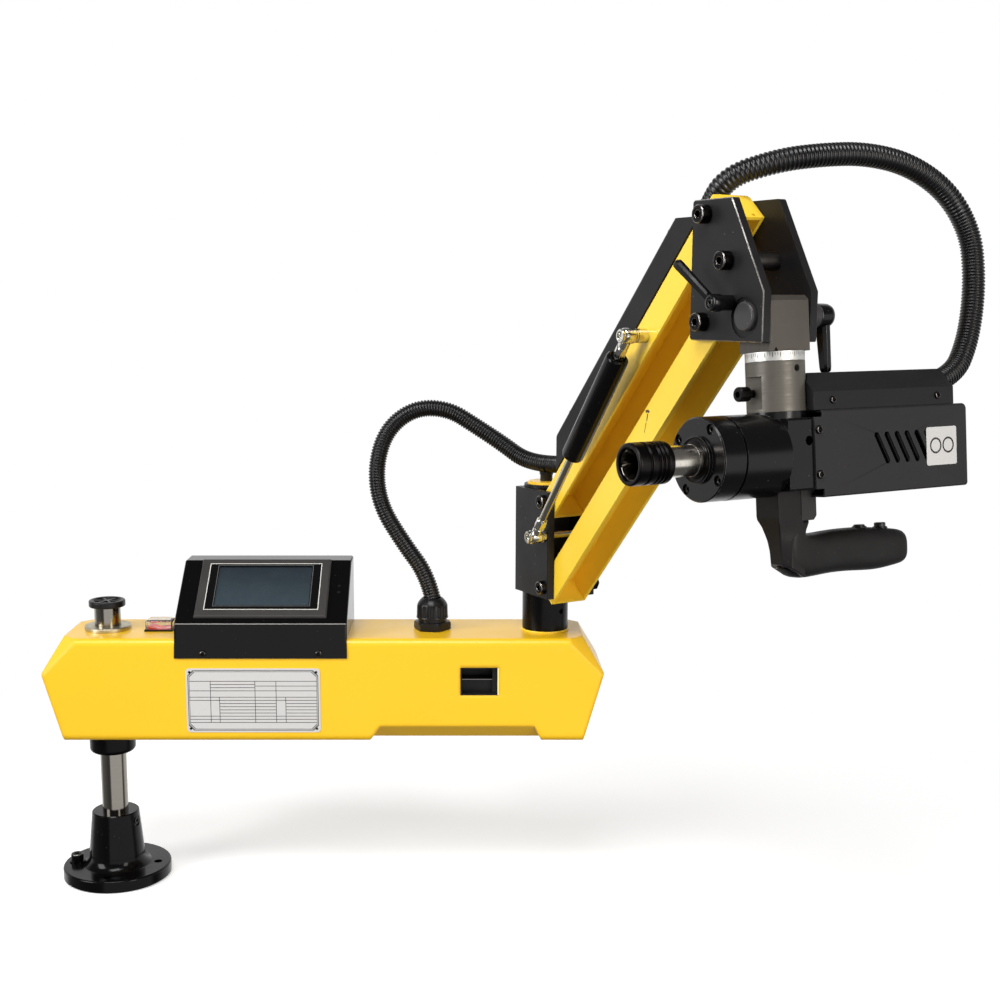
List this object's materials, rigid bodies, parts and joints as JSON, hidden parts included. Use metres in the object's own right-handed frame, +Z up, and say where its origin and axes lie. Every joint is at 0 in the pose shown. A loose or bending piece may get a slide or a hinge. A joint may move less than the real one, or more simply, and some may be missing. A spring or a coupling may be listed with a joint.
{
  "type": "arm tapping machine",
  "caption": "Swing-arm tapping machine: round base and column, jointed arm with gas strut, control box, and a tilting, swivelling tapping head with handle.",
  "frame": {"origin": "centre of the base flange's underside, on the column's axis", "axes": "+Z up along the column, +X along the base arm from the column to the post, +Y to the rear; the picture looks along +Y"},
  "size_m": [0.9234, 0.4651, 0.7682],
  "materials": {
    "cast_black": "satin",
    "column_chrome": "polished",
    "black_paint": "satin",
    "yellow_paint": "gloss",
    "steel": "satin",
    "zinc": "satin",
    "black_oxide": "satin",
    "label_plate": "satin",
    "black_plastic": "matte",
    "bezel_plastic": "satin",
    "screen_glass": "gloss",
    "rocker_red": "gloss",
    "clear_cover": "clear",
    "strut_black": "gloss",
    "block_grey": "satin",
    "ring_silver": "satin",
    "collar_grey": "satin",
    "grip_rubber": "matte",
    "conduit_black": "gloss",
    "button_black": "gloss"
  },
  "bodies": {
    "base": {"base_flange": "cast_black", "hub_screw": "black_oxide", "column": "column_chrome", "column_cap": "black_paint", "lower_collar": "black_paint"},
    "base_arm": {"arm_shell": "yellow_paint", "bearing_housings": "steel", "arm_rings": "zinc", "bottom_cover": "black_paint", "window_liner": "black_plastic", "nameplate": "label_plate", "control_box_cover": "black_paint", "hmi_bezel": "bezel_plastic", "hmi_screen": "screen_glass", "arm_screws": "steel", "switch_frame": "black_plastic", "switch_cover": "clear_cover", "cable_gland": "black_plastic", "conduit_1_lower": "conduit_black"},
    "switch": {"switch_rocker": "rocker_red"},
    "post": {"post_tube": "black_paint", "post_bracket": "black_paint", "post_bolts": "black_oxide", "strut_lower_stud": "zinc", "post_top_disc": "yellow_paint", "conduit_clip": "black_plastic"},
    "upper_link": {"upper_link": "yellow_paint", "cable_cover": "black_paint", "strut_upper_stud": "zinc", "conduit_1_upper": "conduit_black", "conduit_2_lower": "conduit_black"},
    "lower_link": {"lower_link": "yellow_paint"},
    "strut_rod": {"strut_rod": "column_chrome"},
    "strut_tube": {"strut_tube": "strut_black"},
    "head_bracket": {"near_plate": "black_paint", "far_plate": "black_paint", "head_bolts": "black_oxide", "cross_spacer": "steel", "tilt_pin": "black_oxide", "conduit_2_middle": "conduit_black"},
    "front_lever": {"front_lever": "black_paint"},
    "rear_lever": {"rear_lever": "black_paint"},
    "tilt_block": {"tilt_block": "block_grey", "graduated_ring": "ring_silver"},
    "head": {"swivel_collar": "collar_grey", "lock_screw": "black_oxide", "gear_housing": "black_paint", "front_flange": "black_paint", "servo_motor": "black_paint", "motor_cover": "black_paint", "cable_box": "black_paint", "cable_boot": "grip_rubber", "handle_stem": "black_paint", "grip": "grip_rubber", "head_screws": "black_oxide", "conduit_2_upper": "conduit_black"},
    "spindle": {"spindle": "steel"},
    "chuck_sleeve": {"chuck_sleeve": "black_oxide"},
    "button_1": {"button_1": "button_black"},
    "button_2": {"button_2": "button_black"}
  },
  "joints": [
    {"name": "column_swing", "type": "hinge", "parent": "base", "child": "base_arm", "pos_m": [0, 0, 0.2], "axis": [0, 0, 1], "range_deg": [-180, 180]},
    {"name": "elbow_swing", "type": "hinge", "parent": "base_arm", "child": "post", "pos_m": [0.4748, 0, 0.3], "axis": [0, 0, -1], "range_deg": [-90, 90], "deforming": ["conduit_1_lower"]},
    {"name": "lift", "type": "hinge", "parent": "post", "child": "upper_link", "pos_m": [0.49541, -0.03728, 0.4263], "axis": [-0.8752, -0.4837, 0], "range_deg": [-37, 14], "deforming": ["conduit_1_upper"]},
    {"name": "lower_link_swing", "type": "hinge", "parent": "post", "child": "lower_link", "pos_m": [0.49541, -0.03728, 0.336], "axis": [-0.8752, -0.4837, 0], "range_deg": [-37, 14]},
    {"name": "head_level", "type": "hinge", "parent": "upper_link", "child": "head_bracket", "pos_m": [0.61774, -0.25862, 0.70374], "axis": [-0.8752, -0.4837, 0], "range_deg": [-14, 37], "deforming": ["conduit_2_lower"]},
    {"name": "strut_rod_swing", "type": "hinge", "parent": "post", "child": "strut_rod", "pos_m": [0.45996, -0.05688, 0.3906], "axis": [-0.8752, -0.4837, 0], "range_deg": [-34, 13]},
    {"name": "strut_tube_swing", "type": "hinge", "parent": "upper_link", "child": "strut_tube", "pos_m": [0.53644, -0.19525, 0.59975], "axis": [-0.8752, -0.4837, 0], "range_deg": [-2, 4]},
    {"name": "head_tilt", "type": "hinge", "parent": "head_bracket", "child": "tilt_block", "pos_m": [0.64435, -0.30676, 0.6187], "axis": [-0.8752, -0.4837, 0], "range_deg": [-6, 84], "deforming": ["conduit_2_middle"]},
    {"name": "head_swivel", "type": "hinge", "parent": "tilt_block", "child": "head", "pos_m": [0.64736, -0.31221, 0.55902], "axis": [-0.0502, 0.0909, 0.9946], "range_deg": [-45, 45], "deforming": ["conduit_2_upper"]},
    {"name": "spindle_spin", "type": "hinge", "parent": "head", "child": "spindle", "pos_m": [0.56263, -0.36562, 0.50392], "axis": [0.8752, 0.4837, 0], "continuous": true},
    {"name": "chuck_release", "type": "slide", "parent": "spindle", "child": "chuck_sleeve", "axis": [0.8752, 0.4837, 0], "range_m": [0, 0.004], "stiffness_N_per_m": 800},
    {"name": "front_lever_turn", "type": "hinge", "parent": "head_bracket", "child": "front_lever", "pos_m": [0.60006, -0.30931, 0.6297], "axis": [0.8752, 0.4837, 0], "range_deg": [-60, 60]},
    {"name": "rear_lever_turn", "type": "hinge", "parent": "head_bracket", "child": "rear_lever", "pos_m": [0.69074, -0.28112, 0.6187], "axis": [0.8752, 0.4837, 0], "range_deg": [-60, 60]},
    {"name": "power_switch", "type": "hinge", "parent": "base_arm", "child": "switch", "pos_m": [0.05775, -0.0035, 0.2789], "axis": [0, -1, 0], "range_deg": [0, 14]},
    {"name": "button_1_press", "type": "slide", "parent": "head", "child": "button_1", "axis": [-0.0502, 0.0909, 0.9946], "range_m": [-0.002, 0], "stiffness_N_per_m": 400},
    {"name": "button_2_press", "type": "slide", "parent": "head", "child": "button_2", "axis": [-0.0502, 0.0909, 0.9946], "range_m": [-0.002, 0], "stiffness_N_per_m": 400}
  ],
  "couplings": [
    {"joint": "lower_link_swing", "follows": "lift", "ratio": 1},
    {"joint": "head_level", "follows": "lift", "ratio": -1},
    {"joint": "strut_rod_swing", "follows": "lift", "ratio": 0.908},
    {"joint": "strut_tube_swing", "follows": "lift", "ratio": -0.092}
  ]
}
